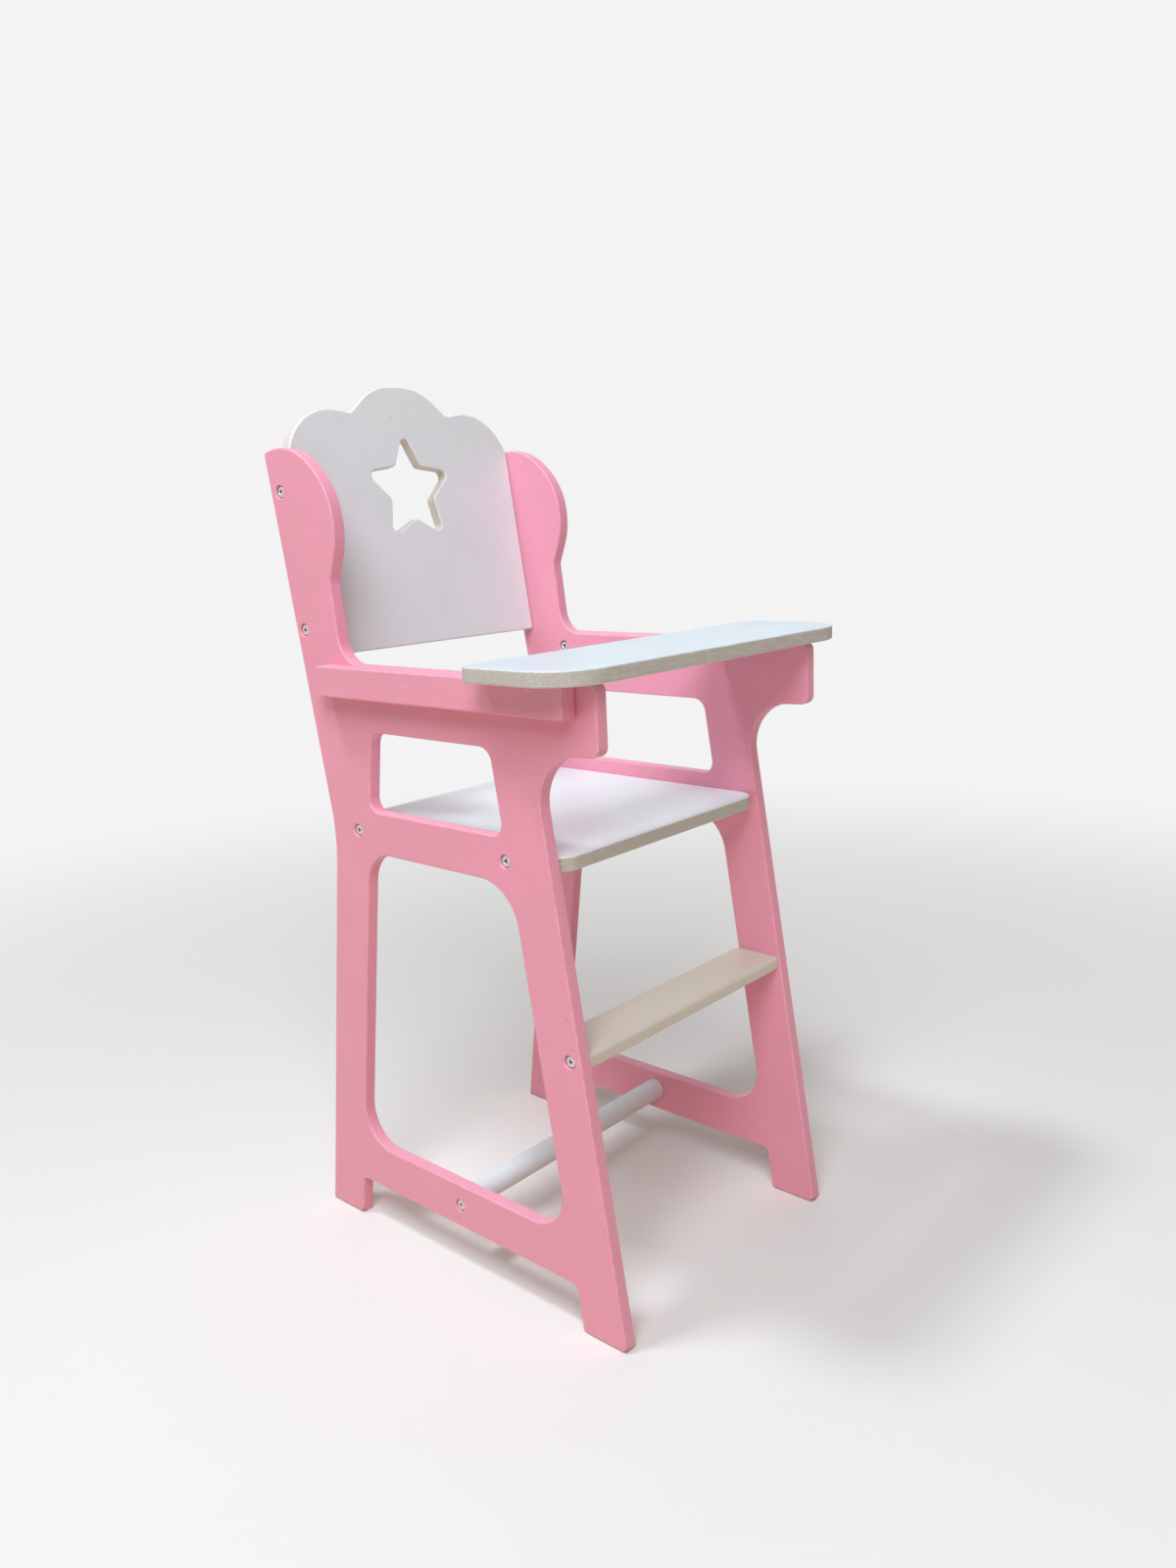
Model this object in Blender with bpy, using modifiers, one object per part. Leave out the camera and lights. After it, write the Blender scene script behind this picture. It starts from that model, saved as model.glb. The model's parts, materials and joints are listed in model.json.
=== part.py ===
"""Doll high chair of painted boards: two side panels, boards between them and a tray that swings up.

Metres, +Z up, the front towards -Y. The origin lies on the floor, under the middle of the chair.
An outline on a side panel is drawn in two directions: forward from the rear foot's back corner, and up.
"""
import math

import bmesh
import bpy
from mathutils import Matrix, Vector

# Boards and fits
BOARD = 0.009
INNER_WIDTH = 0.200
FIT_GAP = 0.0003
EDGE_ROUND = 0.0012
CUT_OVERRUN = 0.002

# Side panel, legs and rails
BASE_DEPTH = 0.2855
LEG_WIDTH = 0.0347
LEG_LEAN_DEG = 8.5
LOW_RAIL_BOTTOM = 0.0302
LOW_RAIL_HEIGHT = 0.0308
BAY_HEIGHT = 0.218
SEAT_RAIL_HEIGHT = 0.0283
WINDOW_HEIGHT = 0.0527
ARM_RAIL_HEIGHT = 0.0427
ARM_END_HEIGHT = 0.0417
ARM_OVERHANG = 0.0507
ARM_NOSE_LENGTH = 0.014
ARM_NOSE_RISE = 0.0006
FOOT_HEEL_RADIUS = 0.0015
FOOT_TOE_RADIUS = 0.0035
FOOT_NOTCH_RADIUS = 0.005
UNDERARM_RADIUS = 0.036
ARM_NOSE_RADIUS = 0.006
ARM_TOP_RADIUS = 0.0055
WINDOW_TOP_RADIUS = 0.010
WINDOW_BOTTOM_RADIUS = 0.008
BAY_REAR_RADIUS = 0.025
BAY_FRONT_RADIUS = 0.031
BAY_BOTTOM_RADIUS = 0.026

# Side panel, back and wing
WAIST_RADIUS = 0.130
BACK_LEAN_DEG = 9.55
WING_RISE = 0.1356
WING_DEPTH = 0.0675
WING_FRONT_RADIUS = 0.0504
WING_CROWN_RADIUS = 0.0553
WING_NOTCH_RADIUS = 0.0088
WING_ROOT_RADIUS = 0.0184
BACK_TOP_RADIUS = 0.0025
# Each wing point is a share of the wing's depth and of its rise above the arm
WING_ROOT_SHARE = 0.963
WING_NOTCH_SHARES = (0.872, 0.387)
WING_FRONT_SHARES = (1.150, 0.733)
WING_CROWN_SHARES = (0.408, 1.060)

# Backrest
BACKREST_LEAN_DEG = 8.3
BACKREST_INSET = 0.0073
BACKREST_FOOT_RISE = 0.0022
CREST_RISE = 0.0456
BACKREST_FOOT_RADIUS = 0.002
BACKREST_SHOULDER_RADIUS = 0.014
LOBE_RADIUS = 0.0411
VALLEY_RADIUS = 0.0057
CREST_RADIUS = 0.0456
# Each scallop point is a share of the board's half width and of its height
SHOULDER_SHARES = (1.0, 0.745)
LOBE_OUTER_SHARES = (0.915, 0.859)
LOBE_INNER_SHARES = (0.639, 0.912)
VALLEY_SHARES = (0.438, 0.892)
CREST_SHARES = (0.207, 1.0)
STAR_DROP = 0.0721
STAR_RADIUS = 0.0409
STAR_INNER_RADIUS = 0.0201
STAR_TIP_RADIUS = 0.0042
STAR_NOTCH_RADIUS = 0.0045
STAR_POINTS = 5

# Seat, footrest and crossbar
SEAT_RISE = 0.0137
SEAT_SETBACK = 0.0045
SEAT_OVERHANG = 0.001
SEAT_FRONT_RADIUS = 0.015
SEAT_REAR_RADIUS = 0.002
FOOTREST_RISE = 0.1202
FOOTREST_SETBACK = 0.001
FOOTREST_OVERHANG = 0.0015
FOOTREST_CORNER_RADIUS = 0.001
FOOTREST_ROUND = 0.003
CROSSBAR_RADIUS = 0.008
CROSSBAR_SCREW_DROP = 0.002

# Tray
TRAY_DEPTH = 0.0806
TRAY_FRONT_OVERHANG = 0.0081
TRAY_SIDE_OVERHANG = 0.0203
TRAY_FRONT_RADIUS = 0.0325
TRAY_REAR_RADIUS = 0.0085
TRAY_ARM_HEIGHT = 0.0199
TRAY_ARM_THICKNESS = 0.012
TRAY_ARM_END_RADIUS = 0.007
TRAY_ARM_NOSE_RADIUS = 0.0015
TRAY_ARM_START = 0.049
TRAY_ARM_SETBACK = 0.0142
PIVOT_INSET = 0.0165

# Screws and dowels
SCREW_HEAD_RADIUS = 0.0035
SCREW_HEAD_HEIGHT = 0.002
SCREW_HEAD_CHAMFER = 0.0004
SCREW_SHANK_RADIUS = 0.0018
SCREW_LENGTH = 0.032
SCREW_TIP_LENGTH = 0.004
SCREW_TIP_RADIUS = 0.0004
SCREW_SINK = 0.0009
SCREW_HOLE_PLAY = 0.0006
PIVOT_SCREW_COVER = 0.0024
RECESS_LENGTH = 0.0038
RECESS_WIDTH = 0.0011
RECESS_DEPTH = 0.0012
DOWEL_CHAMFER = 0.0006
FOOTREST_DOWEL_RADIUS = 0.0025
FOOTREST_DOWEL_LENGTH = 0.016
TRAY_DOWEL_RADIUS = 0.003
TRAY_DOWEL_LENGTH = 0.016
SEAT_SCREW_REAR = 0.0197
SEAT_SCREW_FRONT = 0.0376
FOOTREST_SCREW_RISE = 0.0011
# How deep a dowel goes into a board, as a share of its thickness
DOWEL_DEPTH_SHARE = 0.6
# Places along the board that is held: up the backrest, and back from the footrest's front
BACKREST_SCREW_SHARES = (("lower", 0.105), ("upper", 0.605))
FOOTREST_SCREW_SHARE = 0.22
FOOTREST_DOWEL_SHARE = 0.72
# Places along the stretch where the tray board lies on an arm, from the rear
TRAY_DOWEL_SHARES = (("rear", 0.31), ("front", 0.69))

# Fineness
FINE_STEP_DEG = 10.5
COARSE_STEP_DEG = 23.0
FINE_FROM_RADIUS = 0.012
STRAIGHT_DEG = 0.01
RIM_RESOLUTION = 1
SMOOTH_BELOW_DEG = 35.0
ROUND_SIDES = 16
SCREW_SIDES = 12
MERGE_DISTANCE = 0.00002
CROSSBAR_SIDES = 28

# Sizes worked out from the ones above: the side panel from the floor up
LEG_SLOPE = math.tan(math.radians(LEG_LEAN_DEG))
BACK_LEAN = math.radians(BACK_LEAN_DEG)
LOW_RAIL_TOP = LOW_RAIL_BOTTOM + LOW_RAIL_HEIGHT
SEAT_RAIL_BOTTOM = LOW_RAIL_TOP + BAY_HEIGHT
SEAT_RAIL_TOP = SEAT_RAIL_BOTTOM + SEAT_RAIL_HEIGHT
WINDOW_TOP = SEAT_RAIL_TOP + WINDOW_HEIGHT
ARM_HEIGHT = WINDOW_TOP + ARM_RAIL_HEIGHT
ARM_UNDERSIDE = ARM_HEIGHT - ARM_END_HEIGHT
ARM_REACH = BASE_DEPTH - ARM_UNDERSIDE * LEG_SLOPE + ARM_OVERHANG
BACK_TOP = ARM_HEIGHT + WING_RISE
WAIST_HEIGHT = BACK_TOP / (1 + LEG_SLOPE / math.tan(BACK_LEAN))
WAIST_FORWARD = WAIST_HEIGHT * LEG_SLOPE
PANEL_OFFSET = (INNER_WIDTH + BOARD) / 2

# Boards between the panels
BOARD_LENGTH = INNER_WIDTH - 2 * FIT_GAP
BACKREST_LEAN = math.radians(BACKREST_LEAN_DEG)
BACKREST_FOOT_HEIGHT = ARM_HEIGHT + BACKREST_FOOT_RISE
BACKREST_FOOT_FORWARD = (
    WAIST_FORWARD - (BACKREST_FOOT_HEIGHT - WAIST_HEIGHT) * math.tan(BACK_LEAN) + BACKREST_INSET)
BACKREST_HEIGHT = (BACK_TOP + CREST_RISE - BACKREST_FOOT_HEIGHT) / math.cos(BACKREST_LEAN)
STAR_HEIGHT = BACKREST_HEIGHT - STAR_DROP
SEAT_HEIGHT = SEAT_RAIL_BOTTOM + SEAT_RISE
SEAT_REAR = WAIST_FORWARD + SEAT_SETBACK
SEAT_FRONT = BASE_DEPTH - SEAT_HEIGHT * LEG_SLOPE + SEAT_OVERHANG
FOOTREST_TOP = LOW_RAIL_TOP + FOOTREST_RISE
FOOTREST_FRONT = BASE_DEPTH - FOOTREST_TOP * LEG_SLOPE - FOOTREST_SETBACK
FOOTREST_DEPTH = LEG_WIDTH - FOOTREST_SETBACK + FOOTREST_OVERHANG
CROSSBAR_FORWARD = BASE_DEPTH / 2
CROSSBAR_SCREW_HEIGHT = LOW_RAIL_BOTTOM + LOW_RAIL_HEIGHT / 2
CROSSBAR_HEIGHT = CROSSBAR_SCREW_HEIGHT + CROSSBAR_SCREW_DROP

# Tray, its arms and its pivots
TRAY_FRONT = ARM_REACH + TRAY_FRONT_OVERHANG
TRAY_REAR = TRAY_FRONT - TRAY_DEPTH
TRAY_ARM_END = ARM_REACH - TRAY_ARM_SETBACK
TRAY_ARM_OFFSET = INNER_WIDTH / 2 + BOARD + FIT_GAP + TRAY_ARM_THICKNESS / 2
TRAY_HALF_WIDTH = TRAY_ARM_OFFSET + TRAY_ARM_THICKNESS / 2 + TRAY_SIDE_OVERHANG
PIVOT_FORWARD = TRAY_ARM_START + PIVOT_INSET
PIVOT_HEIGHT = ARM_HEIGHT - TRAY_ARM_HEIGHT / 2
PIVOT_SCREW_LENGTH = BOARD - SCREW_SINK + FIT_GAP + TRAY_ARM_THICKNESS - PIVOT_SCREW_COVER
DOWEL_DEPTH = DOWEL_DEPTH_SHARE * BOARD

# The origin lies midway between the tray's front edge and the backrest's rearmost rim
BACK_RIM_FORWARD = (
    BACKREST_FOOT_FORWARD
    - (BACKREST_HEIGHT - EDGE_ROUND) * math.sin(BACKREST_LEAN)
    - BOARD / 2 * math.cos(BACKREST_LEAN))
ORIGIN_FORWARD = (TRAY_FRONT + BACK_RIM_FORWARD) / 2


# Scene and materials
def clear_scene():
    for old in list(bpy.data.objects):
        bpy.data.objects.remove(old, do_unlink=True)


def new_collection(name):
    collection = bpy.data.collections.new(name)
    bpy.context.scene.collection.children.link(collection)
    return collection


def new_material(name, colour, roughness, metallic=0.0):
    material = bpy.data.materials.new(name)
    material.use_nodes = True
    shader = material.node_tree.nodes["Principled BSDF"]
    shader.inputs["Base Color"].default_value = (*colour, 1.0)
    shader.inputs["Roughness"].default_value = roughness
    shader.inputs["Metallic"].default_value = metallic
    material.diffuse_color = (*colour, 1.0)
    return material


clear_scene()
CHAIR = new_collection("doll_chair")
CUTTERS = new_collection("cutters")
PINK = (0.80, 0.30, 0.40)
WHITE = (0.86, 0.85, 0.83)
STEEL = (0.62, 0.62, 0.60)
BEECH = (0.68, 0.50, 0.32)
SIDES = (("left", -1), ("right", 1))


# Outlines
def rounded(corners):
    """Turn corners (x, y, radius) into points, each corner an arc that touches both its edges."""
    count = len(corners)
    places = [Vector(corner[:2]) for corner in corners]
    turns = []
    reaches = []
    for index, place in enumerate(places):
        inward = place - places[index - 1]
        outward = places[(index + 1) % count] - place
        turn = inward.angle_signed(outward)
        turns.append(-turn)
        reaches.append(corners[index][2] * math.tan(abs(turn) / 2))
    limits = list(reaches)
    for index in range(count):
        after = (index + 1) % count
        edge = (places[after] - places[index]).length
        wanted = reaches[index] + reaches[after]
        if wanted > edge:
            limits[index] = min(limits[index], reaches[index] * edge / wanted)
            limits[after] = min(limits[after], reaches[after] * edge / wanted)
    points = []
    for index, place in enumerate(places):
        reach = limits[index]
        turn = turns[index]
        if abs(turn) < math.radians(STRAIGHT_DEG):
            points.append(place)
            continue
        inward = (place - places[index - 1]).normalized()
        radius = reach / math.tan(abs(turn) / 2)
        step = math.radians(FINE_STEP_DEG if radius >= FINE_FROM_RADIUS else COARSE_STEP_DEG)
        pieces = max(1, math.ceil(abs(turn) / step))
        side = math.copysign(1, turn)
        start = place - inward * reach
        centre = start + Vector((-inward.y, inward.x)) * radius * side
        for piece in range(pieces + 1):
            arm = start - centre
            arm.rotate(Matrix.Rotation(turn * piece / pieces, 2))
            point = centre + arm
            if not points or (point - points[-1]).length > FIT_GAP:
                points.append(point)
    if (points[0] - points[-1]).length <= FIT_GAP:
        points.pop()
    return points


def mirrored_corners(half):
    """Corners of a symmetric outline from its right half, which runs from bottom to top."""
    left = [(-x, y, radius) for x, y, radius in reversed(half)]
    return half + left


# Solids
def flat_board(name, outlines, thickness, rounding, material):
    """A board lying in its own XY plane, filled inside its outlines, its rims rounded inwards."""
    curve = bpy.data.curves.new(name, "CURVE")
    curve.dimensions = "2D"
    curve.fill_mode = "BOTH"
    curve.extrude = thickness / 2 - rounding
    curve.bevel_depth = rounding
    curve.bevel_resolution = RIM_RESOLUTION
    curve.offset = -rounding
    for outline in outlines:
        spline = curve.splines.new("POLY")
        spline.points.add(len(outline) - 1)
        spline.use_cyclic_u = True
        for point, place in zip(spline.points, outline):
            point.co = (place.x, place.y, 0, 1)
    drawn = bpy.data.objects.new(name + "_outline", curve)
    CHAIR.objects.link(drawn)
    bpy.context.view_layer.update()
    evaluated = drawn.evaluated_get(bpy.context.evaluated_depsgraph_get())
    mesh = bpy.data.meshes.new_from_object(evaluated)
    mesh.name = name
    bpy.data.objects.remove(drawn, do_unlink=True)
    shape = bmesh.new()
    shape.from_mesh(mesh)
    bmesh.ops.remove_doubles(shape, verts=shape.verts, dist=FIT_GAP / 10)
    bmesh.ops.recalc_face_normals(shape, faces=shape.faces)
    shape.to_mesh(mesh)
    shape.free()
    return new_object(name, mesh, material)


def new_object(name, mesh, material, collection=None):
    body = bpy.data.objects.new(name, mesh)
    (collection or CHAIR).objects.link(body)
    mesh.materials.clear()
    mesh.materials.append(material)
    mesh.shade_smooth()
    mesh.set_sharp_from_angle(angle=math.radians(SMOOTH_BELOW_DEG))
    return body


def turned(name, profile, sides, material, collection=None):
    """A body of revolution about its own Z axis; the profile runs down its outer side."""
    mesh = bpy.data.meshes.new(name)
    shape = bmesh.new()
    rims = [shape.verts.new((radius, 0, height)) for radius, height in profile]
    for upper, lower in zip(rims, rims[1:]):
        shape.edges.new((upper, lower))
    shape.to_mesh(mesh)
    shape.free()
    body = new_object(name, mesh, material, collection)
    screw = body.modifiers.new("turn", "SCREW")
    screw.steps = sides
    screw.render_steps = sides
    screw.use_merge_vertices = True
    screw.merge_threshold = MERGE_DISTANCE
    return body


def as_cutter(body):
    body.hide_render = True
    body.display_type = "WIRE"
    return body


def cut(target, cutter):
    """Take the cutter's shape out of the target."""
    boolean = target.modifiers.new(cutter.name, "BOOLEAN")
    boolean.operation = "DIFFERENCE"
    boolean.solver = "EXACT"
    boolean.object = cutter


def finished_mesh(body):
    """The evaluated mesh of a body, which is then removed."""
    bpy.context.view_layer.update()
    evaluated = body.evaluated_get(bpy.context.evaluated_depsgraph_get())
    mesh = bpy.data.meshes.new_from_object(evaluated)
    mesh.name = body.name
    bpy.data.objects.remove(body, do_unlink=True)
    return mesh


# Places
def at(x, forward, height):
    """A point given across, forward from the rear feet and up."""
    return Vector((x, ORIGIN_FORWARD - forward, height))


def up_the_backrest(rise):
    """Forward and up for a point on the backrest's middle, that far up from its foot."""
    forward = BACKREST_FOOT_FORWARD - rise * math.sin(BACKREST_LEAN)
    height = BACKREST_FOOT_HEIGHT + rise * math.cos(BACKREST_LEAN)
    return forward, height


def upright(body, x, forward=0.0, height=0.0):
    """Stand a board in a side plane: its own X points forward and its own Y up."""
    turn = Matrix(((0, 0, -1), (-1, 0, 0), (0, 1, 0)))
    body.matrix_world = Matrix.Translation(at(x, forward, height)) @ turn.to_4x4()


def lying(body, height):
    """Lay a board flat: its own X points across and its own Y back."""
    body.location = at(0, 0, height)


def sideways(body, outward, x, forward, height):
    """Point a body's own +Z along X, to the side that outward gives."""
    body.location = at(x, forward, height)
    body.rotation_euler = (0, outward * math.pi / 2, 0)


# Side panels
def panel_outline():
    """Feet, front leg, arm, wing and leaning back of a side panel."""
    notch_reach = LEG_WIDTH + LOW_RAIL_BOTTOM * LEG_SLOPE
    nose_start = ARM_REACH - ARM_NOSE_LENGTH

    def wing(shares, radius):
        across, up = shares
        return (across * WING_DEPTH, ARM_HEIGHT + up * WING_RISE, radius)

    return rounded([
        (0, 0, FOOT_HEEL_RADIUS),
        (LEG_WIDTH, 0, FOOT_HEEL_RADIUS),
        (notch_reach, LOW_RAIL_BOTTOM, FOOT_NOTCH_RADIUS),
        (BASE_DEPTH - notch_reach, LOW_RAIL_BOTTOM, FOOT_NOTCH_RADIUS),
        (BASE_DEPTH - LEG_WIDTH, 0, FOOT_HEEL_RADIUS),
        (BASE_DEPTH, 0, FOOT_TOE_RADIUS),
        (BASE_DEPTH - ARM_UNDERSIDE * LEG_SLOPE, ARM_UNDERSIDE, UNDERARM_RADIUS),
        (nose_start, ARM_UNDERSIDE, UNDERARM_RADIUS),
        (ARM_REACH, ARM_UNDERSIDE + ARM_NOSE_RISE, ARM_NOSE_RADIUS),
        (ARM_REACH, ARM_HEIGHT, ARM_TOP_RADIUS),
        (WING_ROOT_SHARE * WING_DEPTH, ARM_HEIGHT, WING_ROOT_RADIUS),
        wing(WING_NOTCH_SHARES, WING_NOTCH_RADIUS),
        wing(WING_FRONT_SHARES, WING_FRONT_RADIUS),
        wing(WING_CROWN_SHARES, WING_CROWN_RADIUS),
        (0, BACK_TOP, BACK_TOP_RADIUS),
        (WAIST_FORWARD, WAIST_HEIGHT, WAIST_RADIUS),
    ])


def opening_outline(bottom, top, bottom_radii, top_radii):
    """An opening between the legs' inner edges, which lean towards each other."""
    low_rear = LEG_WIDTH + bottom * LEG_SLOPE
    high_rear = LEG_WIDTH + top * LEG_SLOPE
    return rounded([
        (low_rear, bottom, bottom_radii[0]),
        (high_rear, top, top_radii[0]),
        (BASE_DEPTH - high_rear, top, top_radii[1]),
        (BASE_DEPTH - low_rear, bottom, bottom_radii[1]),
    ])


def side_panel(name, side, material):
    bay = opening_outline(
        LOW_RAIL_TOP, SEAT_RAIL_BOTTOM,
        (BAY_BOTTOM_RADIUS, BAY_BOTTOM_RADIUS), (BAY_REAR_RADIUS, BAY_FRONT_RADIUS))
    window = opening_outline(
        SEAT_RAIL_TOP, WINDOW_TOP,
        (WINDOW_BOTTOM_RADIUS, WINDOW_BOTTOM_RADIUS), (WINDOW_TOP_RADIUS, WINDOW_TOP_RADIUS))
    panel = flat_board(name, [panel_outline(), bay, window], BOARD, EDGE_ROUND, material)
    upright(panel, side * PANEL_OFFSET)
    return panel


# Boards between the panels
def star_outline():
    """A star of straight points with blunt tips."""
    corners = []
    for index in range(2 * STAR_POINTS):
        angle = math.pi / 2 + math.pi * index / STAR_POINTS
        tip = index % 2 == 0
        reach = STAR_RADIUS if tip else STAR_INNER_RADIUS
        radius = STAR_TIP_RADIUS if tip else STAR_NOTCH_RADIUS
        corners.append((reach * math.cos(angle), STAR_HEIGHT + reach * math.sin(angle), radius))
    return rounded(corners)


def backrest_board(material):
    half_width = BOARD_LENGTH / 2

    def scallop(shares, radius):
        return (shares[0] * half_width, shares[1] * BACKREST_HEIGHT, radius)

    half = [
        (half_width, 0, BACKREST_FOOT_RADIUS),
        scallop(SHOULDER_SHARES, BACKREST_SHOULDER_RADIUS),
        scallop(LOBE_OUTER_SHARES, LOBE_RADIUS),
        scallop(LOBE_INNER_SHARES, LOBE_RADIUS),
        scallop(VALLEY_SHARES, VALLEY_RADIUS),
        scallop(CREST_SHARES, CREST_RADIUS),
    ]
    outlines = [rounded(mirrored_corners(half)), star_outline()]
    board = flat_board("backrest", outlines, BOARD, EDGE_ROUND, material)
    board.location = at(0, BACKREST_FOOT_FORWARD, BACKREST_FOOT_HEIGHT)
    board.rotation_euler = (math.pi / 2 - BACKREST_LEAN, 0, 0)
    return board


def seat_board(material):
    half = [
        (BOARD_LENGTH / 2, -SEAT_FRONT, SEAT_FRONT_RADIUS),
        (BOARD_LENGTH / 2, -SEAT_REAR, SEAT_REAR_RADIUS),
    ]
    board = flat_board("seat", [rounded(mirrored_corners(half))], BOARD, EDGE_ROUND, material)
    lying(board, SEAT_HEIGHT)
    return board


def footrest_board(material):
    """A board with a softly rounded front: its cross section, drawn forward and up, run across."""
    section = rounded([
        (FOOTREST_FRONT - FOOTREST_DEPTH, FOOTREST_TOP - BOARD, FOOTREST_CORNER_RADIUS),
        (FOOTREST_FRONT, FOOTREST_TOP - BOARD, FOOTREST_CORNER_RADIUS),
        (FOOTREST_FRONT, FOOTREST_TOP, FOOTREST_ROUND),
        (FOOTREST_FRONT - FOOTREST_DEPTH, FOOTREST_TOP, FOOTREST_CORNER_RADIUS),
    ])
    board = flat_board("footrest", [section], BOARD_LENGTH, 0, material)
    upright(board, 0)
    return board


def crossbar(material):
    mesh = bpy.data.meshes.new("crossbar")
    shape = bmesh.new()
    bmesh.ops.create_cone(
        shape, cap_ends=True, segments=CROSSBAR_SIDES,
        radius1=CROSSBAR_RADIUS, radius2=CROSSBAR_RADIUS, depth=BOARD_LENGTH)
    shape.to_mesh(mesh)
    shape.free()
    bar = new_object("crossbar", mesh, material)
    sideways(bar, 1, 0, CROSSBAR_FORWARD, CROSSBAR_HEIGHT)
    return bar


# Tray
def tray_board(material):
    half = [
        (TRAY_HALF_WIDTH, -TRAY_FRONT, TRAY_FRONT_RADIUS),
        (TRAY_HALF_WIDTH, -TRAY_REAR, TRAY_REAR_RADIUS),
    ]
    board = flat_board("tray_board", [rounded(mirrored_corners(half))], BOARD, EDGE_ROUND, material)
    lying(board, ARM_HEIGHT + FIT_GAP + BOARD / 2)
    return board


def tray_arm(name, side, material):
    low = ARM_HEIGHT - TRAY_ARM_HEIGHT
    outline = rounded([
        (TRAY_ARM_START, low, TRAY_ARM_END_RADIUS),
        (TRAY_ARM_END, low, TRAY_ARM_NOSE_RADIUS),
        (TRAY_ARM_END, ARM_HEIGHT, TRAY_ARM_NOSE_RADIUS),
        (TRAY_ARM_START, ARM_HEIGHT, TRAY_ARM_END_RADIUS),
    ])
    arm = flat_board(name, [outline], TRAY_ARM_THICKNESS, EDGE_ROUND, material)
    upright(arm, side * TRAY_ARM_OFFSET)
    return arm


# Fasteners
def screw_mesh(name, length, material):
    """A screw with its head's top at the origin and its tip below, with a cross recess."""
    shank_end = length - SCREW_TIP_LENGTH
    screw = turned(name, [
        (0, 0),
        (SCREW_HEAD_RADIUS - SCREW_HEAD_CHAMFER, 0),
        (SCREW_HEAD_RADIUS, -SCREW_HEAD_CHAMFER),
        (SCREW_HEAD_RADIUS, -SCREW_HEAD_HEIGHT),
        (SCREW_SHANK_RADIUS, -SCREW_HEAD_HEIGHT),
        (SCREW_SHANK_RADIUS, -shank_end),
        (SCREW_TIP_RADIUS, -length),
        (0, -length),
    ], SCREW_SIDES, material)
    long_side = RECESS_LENGTH / 2
    short_side = RECESS_WIDTH / 2
    cross = [(long_side, short_side), (short_side, short_side), (short_side, long_side)]
    corners = []
    for quarter in range(4):
        turn = Matrix.Rotation(quarter * math.pi / 2, 2)
        corners += [turn @ Vector(corner) for corner in cross]
    recess = flat_board(name + "_recess", [corners], 2 * RECESS_DEPTH, 0, material)
    cut(screw, recess)
    mesh = finished_mesh(screw)
    bpy.data.objects.remove(recess, do_unlink=True)
    return mesh


def screw_cutter(name, length):
    """The room for a screw: its sunk head, open upwards, and its shank, with play all round."""
    head = SCREW_HEAD_RADIUS + SCREW_HOLE_PLAY
    shank = SCREW_SHANK_RADIUS + FIT_GAP
    head_floor = SCREW_HEAD_HEIGHT + FIT_GAP
    depth = length + FIT_GAP
    return as_cutter(turned(name, [
        (0, SCREW_SINK + CUT_OVERRUN),
        (head, SCREW_SINK + CUT_OVERRUN),
        (head, -head_floor),
        (shank, -head_floor),
        (shank, -depth),
        (0, -depth),
    ], ROUND_SIDES, None, CUTTERS))


def dowel_mesh(name, radius, length, material):
    """A wooden pin with chamfered ends, its middle at the origin."""
    half = length / 2
    rim = radius - DOWEL_CHAMFER
    return finished_mesh(turned(name, [
        (0, half),
        (rim, half),
        (radius, half - DOWEL_CHAMFER),
        (radius, DOWEL_CHAMFER - half),
        (rim, -half),
        (0, -half),
    ], SCREW_SIDES, material))


def dowel_cutter(name, radius, length):
    """A dowel's blind holes, drawn as one pin that is larger by the fit."""
    half = length / 2 + FIT_GAP
    wall = radius + FIT_GAP
    profile = [(0, half), (wall, half), (wall, -half), (0, -half)]
    return as_cutter(turned(name, profile, ROUND_SIDES, None, CUTTERS))


# The whole chair
def add_fixing_screws(panels, boards, steel):
    """One screw in from each panel's outer face for every place where a board is held."""
    mesh = screw_mesh("fixing_screw", SCREW_LENGTH, steel)
    holes = [
        (f"backrest_{level}", "backrest", *up_the_backrest(share * BACKREST_HEIGHT))
        for level, share in BACKREST_SCREW_SHARES]
    holes += [
        ("seat_rear", "seat", SEAT_REAR + SEAT_SCREW_REAR, SEAT_HEIGHT),
        ("seat_front", "seat", SEAT_FRONT - SEAT_SCREW_FRONT, SEAT_HEIGHT),
        ("footrest", "footrest", FOOTREST_FRONT - FOOTREST_SCREW_SHARE * FOOTREST_DEPTH,
         FOOTREST_TOP - BOARD / 2 + FOOTREST_SCREW_RISE),
        ("crossbar", "crossbar", CROSSBAR_FORWARD, CROSSBAR_SCREW_HEIGHT),
    ]
    head_top = INNER_WIDTH / 2 + BOARD - SCREW_SINK
    for side_name, side in SIDES:
        for place, board, forward, height in holes:
            name = f"{side_name}_{place}_screw"
            screw = new_object(name, mesh, steel)
            sideways(screw, side, side * head_top, forward, height)
            hole = screw_cutter(name + "_hole", SCREW_LENGTH)
            sideways(hole, side, side * head_top, forward, height)
            cut(panels[side_name], hole)
            cut(boards[board], hole)


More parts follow.
